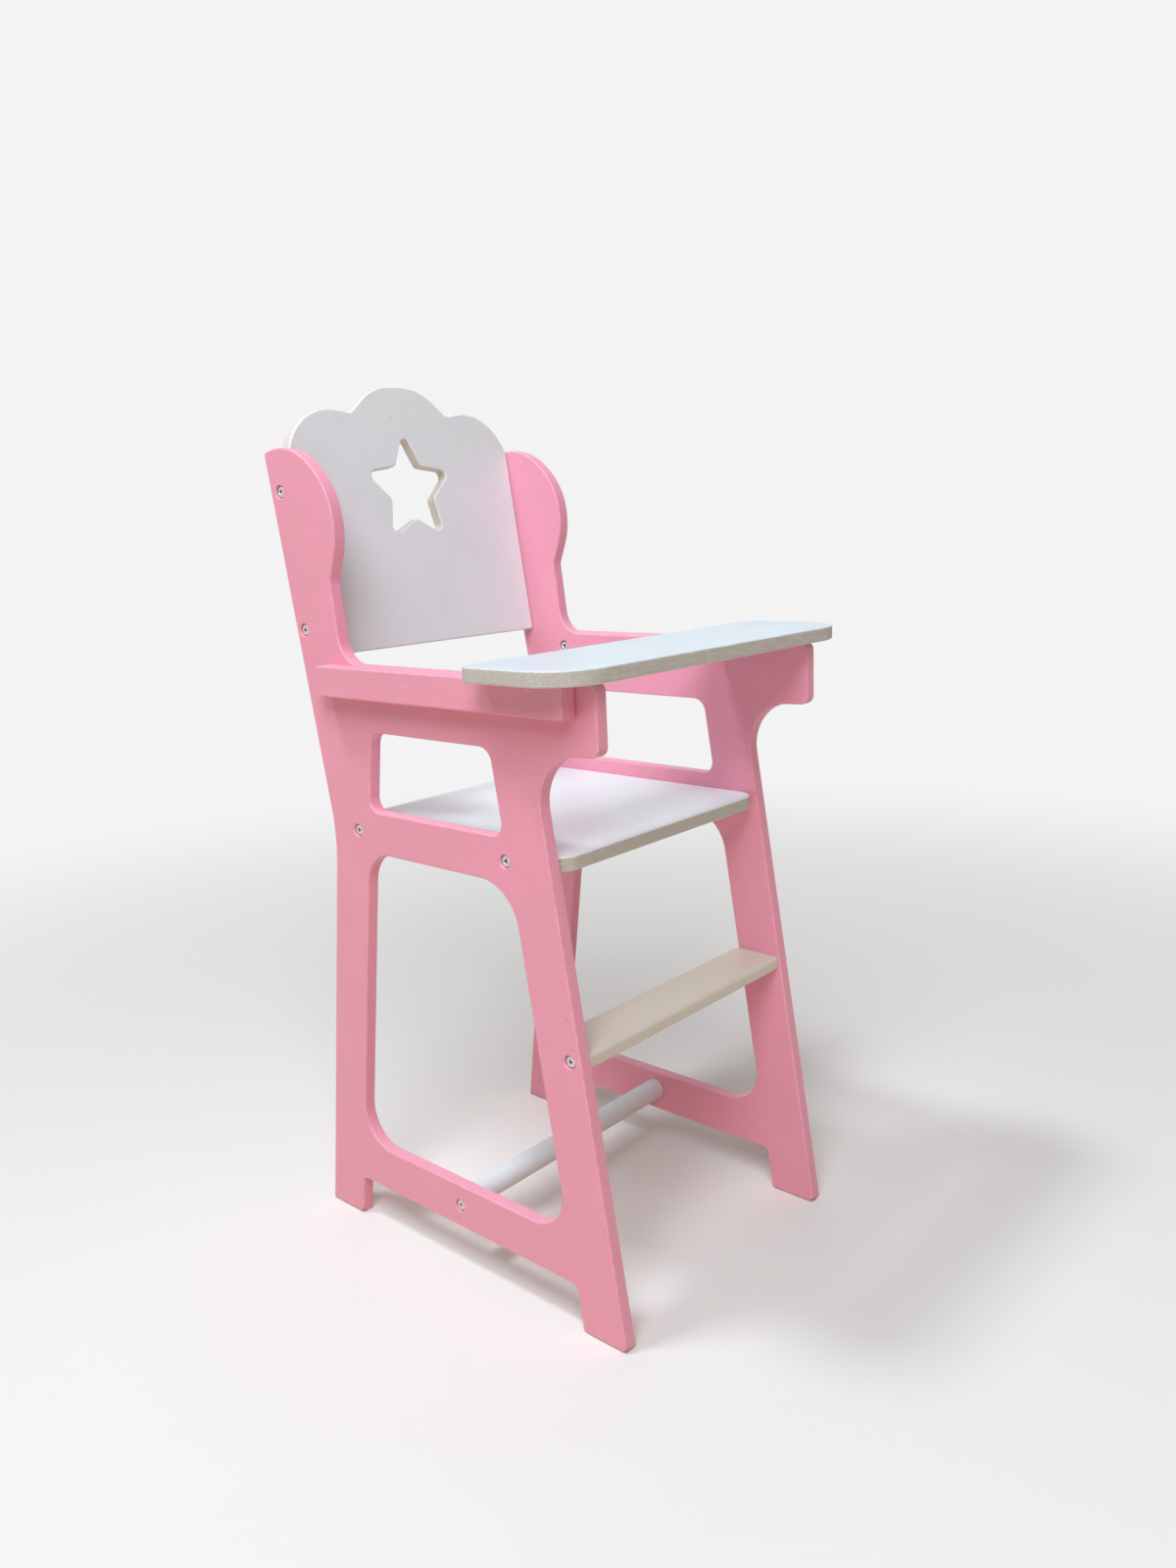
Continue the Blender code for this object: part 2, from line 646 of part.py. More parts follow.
def add_footrest_dowels(panels, footrest, beech):
    """Hidden pins behind the footrest's screws, which keep the footrest from turning."""
    mesh = dowel_mesh("footrest_dowel", FOOTREST_DOWEL_RADIUS, FOOTREST_DOWEL_LENGTH, beech)
    middle = INNER_WIDTH / 2 + DOWEL_DEPTH - FOOTREST_DOWEL_LENGTH / 2
    forward = FOOTREST_FRONT - FOOTREST_DOWEL_SHARE * FOOTREST_DEPTH
    height = FOOTREST_TOP - BOARD / 2
    for side_name, side in SIDES:
        name = side_name + "_footrest_dowel"
        hole = dowel_cutter(name + "_hole", FOOTREST_DOWEL_RADIUS, FOOTREST_DOWEL_LENGTH)
        for body in (new_object(name, mesh, beech), hole):
            sideways(body, side, side * middle, forward, height)
        cut(panels[side_name], hole)
        cut(footrest, hole)


def add_tray(panels, pink, white, steel, beech):
    """The tray board on its two arms, which swing on a screw through each panel."""
    hinge = bpy.data.objects.new("tray_hinge", None)
    CHAIR.objects.link(hinge)
    hinge.location = at(0, PIVOT_FORWARD, PIVOT_HEIGHT)
    board = tray_board(white)
    moving = [board]
    screw_shape = screw_mesh("pivot_screw", PIVOT_SCREW_LENGTH, steel)
    dowel_shape = dowel_mesh("tray_dowel", TRAY_DOWEL_RADIUS, TRAY_DOWEL_LENGTH, beech)
    dowel_height = ARM_HEIGHT + FIT_GAP + DOWEL_DEPTH - TRAY_DOWEL_LENGTH / 2
    head_top = INNER_WIDTH / 2 + SCREW_SINK
    for side_name, side in SIDES:
        arm = tray_arm(side_name + "_tray_arm", side, pink)
        name = side_name + "_tray_pivot_screw"
        screw = new_object(name, screw_shape, steel)
        hole = screw_cutter(name + "_hole", PIVOT_SCREW_LENGTH)
        for body in (screw, hole):
            sideways(body, -side, side * head_top, PIVOT_FORWARD, PIVOT_HEIGHT)
        cut(panels[side_name], hole)
        cut(arm, hole)
        moving += [arm, screw]
        for end, share in TRAY_DOWEL_SHARES:
            forward = TRAY_REAR + share * (TRAY_ARM_END - TRAY_REAR)
            name = f"{side_name}_tray_{end}_dowel"
            dowel = new_object(name, dowel_shape, beech)
            hole = dowel_cutter(name + "_hole", TRAY_DOWEL_RADIUS, TRAY_DOWEL_LENGTH)
            for body in (dowel, hole):
                body.location = at(side * TRAY_ARM_OFFSET, forward, dowel_height)
            cut(board, hole)
            cut(arm, hole)
            moving.append(dowel)
    bpy.context.view_layer.update()
    for body in moving:
        body.parent = hinge
        body.matrix_parent_inverse = hinge.matrix_world.inverted()


def build_chair():
    pink = new_material("pink_paint", PINK, 0.45)
    white = new_material("white_paint", WHITE, 0.4)
    steel = new_material("zinc_steel", STEEL, 0.3, 1.0)
    beech = new_material("beech", BEECH, 0.6)
    panels = {}
    for side_name, side in SIDES:
        panels[side_name] = side_panel(side_name + "_side_panel", side, pink)
    boards = {
        "backrest": backrest_board(white),
        "seat": seat_board(white),
        "footrest": footrest_board(white),
        "crossbar": crossbar(white),
    }
    add_fixing_screws(panels, boards, steel)
    add_footrest_dowels(panels, boards["footrest"], beech)
    add_tray(panels, pink, white, steel, beech)


build_chair()
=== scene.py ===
"""Looks of the doll high chair: smooth painted boards, cross-recess screws, paints, floor, light and camera.

Metres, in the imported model's frame: +Z up, the front towards -Y, the floor at 0.
"""
import json
import math

import bmesh
import bpy
from mathutils import Matrix, Vector


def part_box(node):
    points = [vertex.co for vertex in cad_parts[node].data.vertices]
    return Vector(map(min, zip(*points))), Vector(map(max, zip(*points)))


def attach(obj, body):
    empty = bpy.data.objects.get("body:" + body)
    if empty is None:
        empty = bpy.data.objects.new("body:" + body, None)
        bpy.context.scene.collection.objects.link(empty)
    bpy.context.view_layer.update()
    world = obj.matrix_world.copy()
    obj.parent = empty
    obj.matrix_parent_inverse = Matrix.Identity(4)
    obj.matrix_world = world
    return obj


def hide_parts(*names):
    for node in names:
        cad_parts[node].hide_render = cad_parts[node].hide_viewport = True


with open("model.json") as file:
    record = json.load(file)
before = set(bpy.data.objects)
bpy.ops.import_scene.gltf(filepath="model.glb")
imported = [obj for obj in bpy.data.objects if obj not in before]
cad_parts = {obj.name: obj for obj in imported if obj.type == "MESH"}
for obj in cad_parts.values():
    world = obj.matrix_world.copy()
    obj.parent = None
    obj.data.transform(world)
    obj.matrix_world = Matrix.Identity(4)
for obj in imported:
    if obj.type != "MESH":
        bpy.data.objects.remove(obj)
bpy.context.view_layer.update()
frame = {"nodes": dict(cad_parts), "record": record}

UP = Vector((0, 0, 1))
BACK = Vector((0, 1, 0))
ACROSS = Vector((1, 0, 0))

# Camera, as solved from the photograph's straight edges
CAMERA_PLACE = Vector((-0.58814, -0.56341, 0.48777))
CAMERA_HEADING_DEG = 47.815
CAMERA_DOWN_DEG = 12.252
CAMERA_ROLL_DEG = -2.512
SENSOR_WIDTH_MM = 36.0
FRAME_WIDTH_PIXELS = 1200
FOCAL_PIXELS = 1247.2
CLIP_NEAR = 0.01
CLIP_FAR = 50.0

# Floor and backdrop
FLOOR_RADIUS = 6.0
FLOOR_SIDES = 96
FLOOR_COLOUR = (0.87, 0.858, 0.845)
FLOOR_BOUNCE = (0.74, 0.62, 0.50)
BACKDROP_COLOUR = (0.90, 0.90, 0.90)
FADE_FROM = 0.35
FADE_TO = 1.5

# Light: a key from above, a soft box over the left front, and a room, warm at the left front and plain behind
LIGHT_TARGET = Vector((0, 0, 0.35))
LIGHT_DISTANCE = 2.2
KEY_DIRECTION = Vector((-0.30, 0.24, 0.92))
KEY_SIZE = 0.36
KEY_POWER = 19.5
KEY_COLOUR = (0.91, 0.96, 1.0)
BOX_DIRECTION = Vector((-0.54, -0.38, 0.75))
BOX_SIZE = 1.3
BOX_POWER = 35.5
BOX_COLOUR = (0.90, 0.95, 1.0)
ROOM_DIRECTION = (-0.76, -0.62, 0.18)
ROOM_COLOUR = (1.0, 0.85, 0.73)
ROOM_STRENGTH = 0.40
REAR_DIRECTION = (0.66, 0.72, 0.2)
REAR_COLOUR = (1.0, 0.97, 0.94)
REAR_STRENGTH = 0.92
ROOM_SPREAD = 2.0
FILL_COLOUR = (1.0, 0.94, 0.88)
FILL_STRENGTH = 0.07

# Board meshes
RIM_ROUND = 0.0012
RIM_RESOLUTION = 4
ARC_STEP_DEG = 4.0
ARC_MOST_DEG = 30.0
ARC_LEAST_DEG = 2.0
SAME_CHORD_SHARE = 0.02
WELD = 0.000002
RING_TOLERANCE = 0.00003
SHARP_FROM_DEG = 40.0

# Crossbar
BAR_SIDES = 64
BAR_END_ROUND = 0.0008
BAR_END_RINGS = 4

# Screws and the holes they sit in
SCREW_SIDES = 48
HEAD_HEIGHT = 0.002
HEAD_CROWN = 0.00012
HEAD_CROWN_HALFWAY = 0.00004
HEAD_EDGE = 0.0006
HEAD_EDGE_SHARE = 0.35
HEAD_WALL_SHARE = 0.6
SHANK_RADIUS = 0.0018
TIP_LENGTH = 0.004
TIP_RADIUS = 0.0004
RECESS_LENGTH = 0.0038
RECESS_WIDTH = 0.0011
RECESS_DEPTH = 0.0015
RECESS_TAPER_SHARE = 0.45
HOLE_PLAY = 0.0006
HOLE_LIP = 0.0005
HOLE_GAP = 0.0003
SCREW_SINK = 0.0009
CUT_OVERRUN = 0.002
DRIVE_TURN_DEG = 37.0

# Colours of paint, metal and wood
PINK = (0.88, 0.35, 0.48)
# Paler pink for scratches, and for rims as wear with a painted highlight
PINK_WORN_AND_HIGHLIT = (0.93, 0.53, 0.63)
WHITE = (0.85, 0.88, 0.92)
BAR_WHITE = (0.74, 0.78, 0.82)
SEAT_WHITE = (0.83, 0.90, 0.94)
# The tray's white, darker and bluer than the seat's: painted shade in a cool light
TRAY_WHITE_PAINTED_SHADE = (0.62, 0.70, 0.76)
# The footrest's white, darker and warmer: painted shade from the seat and tray above it
FOOTREST_WHITE_PAINTED_SHADE = (0.70, 0.645, 0.56)
# Paler white for rims as wear with a painted highlight
WHITE_WORN_AND_HIGHLIT = (0.87, 0.88, 0.88)
THIN_WHITE = (0.55, 0.52, 0.46)
THIN_BACK_WHITE = (0.70, 0.66, 0.59)
BARE_BOARD = (0.42, 0.31, 0.20)
STEEL = (0.70, 0.69, 0.67)
# Dark steel for the painted shade, with some dirt, in the screws' cross recess and down their heads' rims
STEEL_SHADE_AND_GRIME = (0.15, 0.125, 0.11)
BEECH = (0.68, 0.50, 0.32)
BEECH_LATE = (0.52, 0.34, 0.19)

# A Mix node's colour sockets by number, because their names repeat
MIX_INPUTS = (0, 6, 7)
MIX_RESULT = 2

# Noise detail, from soft to crisp
SOFT = 1.0
MEDIUM = 2.0
ROUGH = 3.0
CRISP = 4.0

# Marks in the paint: sizes in metres, heights in millimetres, tints and reaches as shares
MILLIMETRE = 0.001
PAINT_SPECULAR = 0.42
PINK_SHEEN = 0.15
ROUGHNESS_REACH = 0.08
MOTTLE_SIZE = 0.055
MOTTLE_REACH = 0.05
CLOUD_SIZE = 0.009
CLOUD_REACH = 0.02
PEEL_SIZE = 0.0022
PEEL_HEIGHT = 0.05
FIBRE_SIZE = 0.0010
FIBRE_STRETCH = 14.0
FIBRE_TINT = 0.35
DUST_CELL = 0.016
DUST_RADIUS = 0.00045
DUST_SHARE = 0.15
DUST_HEIGHT = 0.05
DUST_TINT = -0.06
PINHOLE_CELL = 0.06
PINHOLE_RADIUS = 0.0007
PINHOLE_SHARE = 0.40
PINHOLE_HEIGHT = -0.05
PINHOLE_TINT = -0.7

# Scratches on the arms
SCRATCH_SIZE = 0.016
SCRATCH_STRETCH = 2.2
SCRATCH_WIDTH = 0.010
SCRATCH_PATCH = 0.014
SCRATCH_PATCH_RISE = (0.58, 0.64)
SCRATCH_HEIGHT = -0.10
SCRATCH_TINT = 0.5

# Rims made paler, by wear and by a painted highlight on the round-overs
RIM_PALE_SIZE = 0.006
RIM_PALE_RISE = (0.40, 0.62)
RIM_PALE_SHARE = 0.35

# Chips at the feet
CHIP_SIZE = 0.0016
CHIP_RISE = (0.47, 0.53)
CHIP_REACH = 0.006
CHIP_FULL_SHARE = 0.25
CHIP_RIM = 0.2
CHIP_HEIGHT = -0.45
CHIP_ROUGHNESS = 0.3

# Thin paint and brush strands on cut edges
STRAND_SIZE = 0.0015
STRAND_STRETCH = 5.0
STRAND_RISE = (0.48, 0.66)
STRAND_HEIGHT = 0.45
WALL_FALL = (0.75, 0.15)
WALL_ROUGHNESS = 0.2

# Steel of the screws
STEEL_ROUGHNESS = 0.30
STEEL_RINGS = 30000.0
RING_HEIGHT = 0.002
BLOTCH_SIZE = 0.0012
BLOTCH_TINT = 0.2
BLOTCH_ROUGHNESS = 0.12
# Painted shade, with some dirt: darker steel deep in the cross recess and on the head's rim down in the hole
RECESS_SHADE_AND_GRIME_RADIUS = (0.0026, 0.0020)
RECESS_SHADE_AND_GRIME_HEIGHT = (-0.0002, -0.0009)
SKIRT_SHADE_AND_GRIME_RADIUS = (0.0030, 0.0034)
SKIRT_SHADE_AND_GRIME_HEIGHT = (-0.0003, -0.0009)
SHADE_AND_GRIME_ROUGHNESS = 0.3

# Beech of the dowels
BEECH_ROUGHNESS = 0.6
STREAK_SIZE = 0.0012
STREAK_STRETCH = 12.0
STREAK_RISE = (0.40, 0.62)
STREAK_ROUGHNESS = 0.1
STREAK_HEIGHT = 0.03
FLECK_SIZE = 0.0005
FLECK_STRETCH = 5.0
FLECK_RISE = (0.62, 0.70)
FLECK_SHARE = 0.4

# Body and material slot of each node, and the screws
BODIES = frame["record"]["behaviour"]["bodies"]
BODY_OF = {node: body for body, nodes in BODIES.items() for node in nodes}
SLOT_OF = {part["node"]: part["material_slot"] for part in frame["record"]["subparts"]}
SCREWS = [node for node in frame["nodes"] if node.endswith("_screw")]


# Objects and meshes
def placed(name, data, matrix=Matrix()):
    """A new object in the scene."""
    body = bpy.data.objects.new(name, data)
    body.matrix_world = matrix
    bpy.context.scene.collection.objects.link(body)
    return body


def baked(name, shape):
    """A new mesh from a bmesh, which is then freed."""
    mesh = bpy.data.meshes.new(name)
    shape.to_mesh(mesh)
    shape.free()
    return mesh


# Camera
def make_camera():
    heading = math.radians(CAMERA_HEADING_DEG)
    down = math.radians(CAMERA_DOWN_DEG)
    forward = Vector((
        math.sin(heading) * math.cos(down),
        math.cos(heading) * math.cos(down),
        -math.sin(down)))
    level = forward.cross(UP).normalized()
    above = level.cross(forward)
    roll = math.radians(CAMERA_ROLL_DEG)
    right = level * math.cos(roll) + above * math.sin(roll)
    turn = Matrix((right, right.cross(forward), -forward)).transposed()
    data = bpy.data.cameras.new("camera")
    data.sensor_fit = "HORIZONTAL"
    data.sensor_width = SENSOR_WIDTH_MM
    data.lens = SENSOR_WIDTH_MM * FOCAL_PIXELS / FRAME_WIDTH_PIXELS
    data.clip_start = CLIP_NEAR
    data.clip_end = CLIP_FAR
    place = Matrix.Translation(CAMERA_PLACE) @ turn.to_4x4()
    bpy.context.scene.camera = placed("camera", data, place)


# Shader trees
def new_tree(owner):
    """Turn an owner's shader nodes on and return its tree, emptied."""
    owner.use_nodes = True
    owner.node_tree.nodes.clear()
    return owner.node_tree


def new_material(name):
    """A material and its tree."""
    material = bpy.data.materials.new(name)
    return material, new_tree(material)


def add(tree, kind, sockets=None, **settings):
    """A new node; each socket is given a value, or another node's output to link to."""
    node = tree.nodes.new("ShaderNode" + kind)
    for name, value in settings.items():
        setattr(node, name, value)
    for name, value in (sockets or {}).items():
        if isinstance(value, bpy.types.NodeSocket):
            tree.links.new(value, node.inputs[name])
        else:
            node.inputs[name].default_value = value
    return node


def maths(tree, operation, first, second=0.0, clamped=False):
    return add(tree, "Math", {0: first, 1: second}, operation=operation, use_clamp=clamped).outputs[0]


def blended(tree, share, first, second):
    """Two colours mixed by a share."""
    sockets = dict(zip(MIX_INPUTS, (share, first, second)))
    return add(tree, "Mix", sockets, data_type="RGBA").outputs[MIX_RESULT]


def seen_directly(tree):
    """1 for rays from the camera and from glossy surfaces, which see the pale backdrop."""
    path = add(tree, "LightPath")
    return maths(tree, "MAXIMUM", path.outputs["Is Camera Ray"], path.outputs["Is Glossy Ray"])


# Floor, backdrop and light
def floor_material():
    """Pale where it is seen, fading into the backdrop, and warmer in the light that it throws back."""
    material, tree = new_material("floor")
    place = add(tree, "TexCoord")
    distance = add(tree, "VectorMath", {0: place.outputs["Object"]}, operation="LENGTH")
    fade = add(
        tree, "MapRange", {"Value": distance.outputs["Value"], "From Min": FADE_FROM, "From Max": FADE_TO},
        interpolation_type="SMOOTHSTEP")
    share = maths(tree, "MULTIPLY", fade.outputs["Result"], seen_directly(tree))
    tint = blended(tree, seen_directly(tree), (*FLOOR_BOUNCE, 1), (*FLOOR_COLOUR, 1))
    diffuse = add(tree, "BsdfDiffuse", {"Color": tint})
    glow = add(tree, "Emission", {"Color": (*BACKDROP_COLOUR, 1)})
    mixed = add(tree, "MixShader", {"Fac": share, 1: diffuse.outputs[0], 2: glow.outputs[0]})
    add(tree, "OutputMaterial", {"Surface": mixed.outputs[0]})
    return material


def make_stage():
    shape = bmesh.new()
    bmesh.ops.create_circle(shape, cap_ends=True, segments=FLOOR_SIDES, radius=FLOOR_RADIUS)
    mesh = baked("floor", shape)
    mesh.materials.append(floor_material())
    floor = placed("floor", mesh)


def room_light(tree, way, direction, colour, strength):
    """Light from one side of the room, which falls away towards the other side."""
    facing = add(tree, "VectorMath", {0: way, 1: direction}, operation="DOT_PRODUCT").outputs["Value"]
    lobe = maths(tree, "POWER", maths(tree, "MAXIMUM", facing, 0.0), ROOM_SPREAD)
    level = maths(tree, "MULTIPLY", lobe, strength)
    return add(tree, "Background", {"Color": (*colour, 1), "Strength": level})


def make_world():
    world = bpy.data.worlds.new("studio")
    bpy.context.scene.world = world
    tree = new_tree(world)
    way = add(tree, "TexCoord").outputs["Generated"]
    fill = add(tree, "Background", {"Color": (*FILL_COLOUR, 1), "Strength": FILL_STRENGTH})
    room = room_light(tree, way, ROOM_DIRECTION, ROOM_COLOUR, ROOM_STRENGTH)
    rear = room_light(tree, way, REAR_DIRECTION, REAR_COLOUR, REAR_STRENGTH)
    lit = add(tree, "AddShader", {0: fill.outputs[0], 1: room.outputs[0]})
    lit = add(tree, "AddShader", {0: lit.outputs[0], 1: rear.outputs[0]})
    backdrop = add(tree, "Background", {"Color": (*BACKDROP_COLOUR, 1)})
    mixed = add(tree, "MixShader", {"Fac": seen_directly(tree), 1: lit.outputs[0], 2: backdrop.outputs[0]})
    add(tree, "OutputWorld", {"Surface": mixed.outputs[0]})


def make_light(name, direction, size, power, colour):
    data = bpy.data.lights.new(name, "AREA")
    data.shape = "DISK"
    data.size = size
    data.energy = power
    data.color = colour
    lamp = placed(name, data)
    lamp.location = LIGHT_TARGET + direction.normalized() * LIGHT_DISTANCE
    lamp.rotation_euler = direction.to_track_quat("Z", "Y").to_euler()


# Paint, metal and wood
def noise(tree, place, size, detail=MEDIUM, stretch=1.0):
    """Noise with features of about that size, drawn out along X by the stretch."""
    scale = (1 / (size * stretch), 1 / size, 1 / size)
    mapped = add(tree, "Mapping", {"Vector": place, "Scale": scale})
    return add(tree, "TexNoise", {"Vector": mapped.outputs[0], "Scale": 1.0, "Detail": detail}).outputs["Fac"]


def swing(tree, value, reach):
    """A noise value, which lies round a half, turned into one round zero."""
    return maths(tree, "MULTIPLY", maths(tree, "SUBTRACT", value, 0.5), 2 * reach)


def step(tree, value, low, high):
    """0 below low and 1 above high, with a smooth rise; low may be the larger one."""
    return add(
        tree, "MapRange", {"Value": value, "From Min": low, "From Max": high},
        interpolation_type="SMOOTHSTEP").outputs["Result"]


def times(tree, first, second):
    return maths(tree, "MULTIPLY", first, second)


def total(tree, values):
    result = values[0]
    for value in values[1:]:
        result = maths(tree, "ADD", result, value)
    return result


def shaded(tree, colour, value):
    """A colour made lighter or darker by a value round 1."""
    return add(tree, "HueSaturation", {"Value": value, "Color": (*colour, 1)}).outputs["Color"]


def dots(tree, place, cell, radius, share):
    """Small round spots on a board's face, one in that share of the cells of an even scatter."""
    cells = add(tree, "TexVoronoi", {"Vector": place, "Scale": 1 / cell}, voronoi_dimensions="2D")
    dot = step(tree, cells.outputs["Distance"], radius / cell, 0.0)
    pick = add(tree, "SeparateColor", {"Color": cells.outputs["Color"]}).outputs[0]
    return times(tree, dot, maths(tree, "LESS_THAN", pick, share))


def attribute(tree, name):
    return add(tree, "Attribute", attribute_name=name, attribute_type="GEOMETRY").outputs["Fac"]


def add_shader(tree, colour, roughness, height, others):
    """The tree's shader and output, with bumps of that height in millimetres."""
    bump = add(tree, "Bump", {"Height": height, "Distance": MILLIMETRE})
    shader = add(tree, "BsdfPrincipled", {
        "Base Color": colour, "Roughness": roughness, "Normal": bump.outputs[0], **others})
    add(tree, "OutputMaterial", {"Surface": shader.outputs[0]})


# A coat of paint: its tint and roughness, and the heights of its marks
def new_coat(tree, place, colour, roughness, fibre_height):
    """An even coat with clouds, dust, pinholes, orange peel and fibres along X."""
    mottle = noise(tree, place, MOTTLE_SIZE, ROUGH)
    cloud = noise(tree, place, CLOUD_SIZE)
    fibre = noise(tree, place, FIBRE_SIZE, ROUGH, FIBRE_STRETCH)
    dust = dots(tree, place, DUST_CELL, DUST_RADIUS, DUST_SHARE)
    pinhole = dots(tree, place, PINHOLE_CELL, PINHOLE_RADIUS, PINHOLE_SHARE)
    value = total(tree, [
        maths(tree, "ADD", swing(tree, mottle, MOTTLE_REACH), 1.0),
        swing(tree, cloud, CLOUD_REACH),
        swing(tree, fibre, fibre_height * FIBRE_TINT),
        times(tree, dust, DUST_TINT),
        times(tree, pinhole, PINHOLE_TINT),
    ])
    return {
        "tint": shaded(tree, colour, value),
        "rough": maths(tree, "ADD", swing(tree, cloud, ROUGHNESS_REACH), roughness),
        "heights": [
            swing(tree, noise(tree, place, PEEL_SIZE), PEEL_HEIGHT),
            swing(tree, fibre, fibre_height),
            times(tree, dust, DUST_HEIGHT),
            times(tree, pinhole, PINHOLE_HEIGHT),
        ],
    }


def scratch(tree, place, coat, worn_and_highlit):
    """Thin bent lines, broken into short pieces."""
    drawn = noise(tree, place, SCRATCH_SIZE, SOFT, SCRATCH_STRETCH)
    bend = maths(tree, "ABSOLUTE", maths(tree, "SUBTRACT", drawn, 0.5))
    line = step(tree, bend, SCRATCH_WIDTH, 0.0)
    patch = step(tree, noise(tree, place, SCRATCH_PATCH, SOFT), *SCRATCH_PATCH_RISE)
    mark = times(tree, line, patch)
    coat["heights"].append(times(tree, mark, SCRATCH_HEIGHT))
    coat["tint"] = blended(tree, times(tree, mark, SCRATCH_TINT), coat["tint"], (*worn_and_highlit, 1))


def thin_on_walls(tree, coords, coat, daub, thin):
    """Thin paint on the cut edges, covered again in that share by brush strands."""
    place = coords.outputs["Object"]
    facing = add(tree, "SeparateXYZ", {"Vector": coords.outputs["Normal"]}).outputs["Z"]
    wall = step(tree, maths(tree, "ABSOLUTE", facing), *WALL_FALL)
    strands = noise(tree, place, STRAND_SIZE, ROUGH, STRAND_STRETCH)
    covered = times(tree, step(tree, strands, *STRAND_RISE), daub)
    bare = times(tree, wall, maths(tree, "SUBTRACT", 1.0, covered))
    coat["tint"] = blended(tree, bare, coat["tint"], (*thin, 1))
    coat["heights"].append(times(tree, swing(tree, strands, STRAND_HEIGHT * daub), wall))
    coat["rough"] = maths(tree, "ADD", coat["rough"], times(tree, wall, WALL_ROUGHNESS))


def rub_and_highlight(tree, place, coat, rim, worn_and_highlit):
    """Paler paint along the rims, as wear and as a painted highlight on the round-overs."""
    pale_rim = times(tree, rim, step(tree, noise(tree, place, RIM_PALE_SIZE, CRISP), *RIM_PALE_RISE))
    coat["tint"] = blended(tree, times(tree, pale_rim, RIM_PALE_SHARE), coat["tint"], (*worn_and_highlit, 1))


def chip(tree, place, coat, rim):
    """Bare board where the rims near the floor are chipped."""
    low = step(tree, attribute(tree, "height"), CHIP_REACH, CHIP_REACH * CHIP_FULL_SHARE)
    lost = times(tree, low, step(tree, noise(tree, place, CHIP_SIZE, ROUGH), *CHIP_RISE))
    lost = times(tree, lost, maths(tree, "GREATER_THAN", rim, CHIP_RIM))
    coat["tint"] = blended(tree, lost, coat["tint"], (*BARE_BOARD, 1))
    coat["heights"].append(times(tree, lost, CHIP_HEIGHT))
    coat["rough"] = maths(tree, "ADD", coat["rough"], times(tree, lost, CHIP_ROUGHNESS))


def paint(
        name, colour, worn_and_highlit, roughness, fibre_height,
        sheen=0.0, scratched=False, chipped=False, daub=0.0, thin=THIN_WHITE):
    """Satin paint on a board, with the wear that is asked for; its rims are always made paler, as wear and as
    a painted highlight.
    """
    material, tree = new_material(name)
    coords = add(tree, "TexCoord")
    place = coords.outputs["Object"]
    rim = attribute(tree, "rim")
    coat = new_coat(tree, place, colour, roughness, fibre_height)
    if scratched:
        scratch(tree, place, coat, worn_and_highlit)
    if daub:
        thin_on_walls(tree, coords, coat, daub, thin)
    rub_and_highlight(tree, place, coat, rim, worn_and_highlit)
    if chipped:
        chip(tree, place, coat, rim)
    gloss = {"Specular IOR Level": PAINT_SPECULAR, "Sheen Weight": sheen}
    add_shader(tree, coat["tint"], coat["rough"], total(tree, coat["heights"]), gloss)
    return material


def steel(name):
    """Zinc-plated steel: fine rings, faint blotches, and painted shade with some dirt, darker in the recess
    and down the head's rim.
    """
    material, tree = new_material(name)
    place = add(tree, "TexCoord").outputs["Object"]
    parts = add(tree, "SeparateXYZ", {"Vector": place})
    height = parts.outputs["Z"]
    flat = add(tree, "CombineXYZ", {"X": parts.outputs["X"], "Y": parts.outputs["Y"]}).outputs[0]
    radius = add(tree, "VectorMath", {0: flat}, operation="LENGTH").outputs["Value"]
    rings = maths(tree, "SINE", times(tree, radius, STEEL_RINGS))
    blotch = noise(tree, place, BLOTCH_SIZE, ROUGH)
    # Painted shade, with some dirt: the recess and the head's rim down in the hole are darkened
    recess = times(tree, step(tree, height, *RECESS_SHADE_AND_GRIME_HEIGHT), step(tree, radius, *RECESS_SHADE_AND_GRIME_RADIUS))
    skirt = times(tree, step(tree, radius, *SKIRT_SHADE_AND_GRIME_RADIUS), step(tree, height, *SKIRT_SHADE_AND_GRIME_HEIGHT))
    shade_and_grime = maths(tree, "MAXIMUM", recess, skirt)
    clean = shaded(tree, STEEL, maths(tree, "ADD", swing(tree, blotch, BLOTCH_TINT), 1.0))
    tint = blended(tree, shade_and_grime, clean, (*STEEL_SHADE_AND_GRIME, 1))
    rough = total(tree, [
        maths(tree, "ADD", swing(tree, blotch, BLOTCH_ROUGHNESS), STEEL_ROUGHNESS),
        times(tree, shade_and_grime, SHADE_AND_GRIME_ROUGHNESS),
    ])
    add_shader(tree, tint, rough, times(tree, rings, RING_HEIGHT), {"Metallic": 1.0})
    return material


def beech(name):
    """Bare beech: pale ground with darker late wood in long streaks and short flecks."""
    material, tree = new_material(name)
    place = add(tree, "TexCoord").outputs["Object"]
    streak = noise(tree, place, STREAK_SIZE, CRISP, STREAK_STRETCH)
    fleck = step(tree, noise(tree, place, FLECK_SIZE, MEDIUM, FLECK_STRETCH), *FLECK_RISE)
    late = step(tree, streak, *STREAK_RISE)
    dark = maths(tree, "ADD", late, times(tree, fleck, FLECK_SHARE), clamped=True)
    tint = blended(tree, dark, (*BEECH, 1), (*BEECH_LATE, 1))
    rough = maths(tree, "ADD", swing(tree, streak, STREAK_ROUGHNESS), BEECH_ROUGHNESS)
    add_shader(tree, tint, rough, swing(tree, streak, STREAK_HEIGHT), {})
    return material


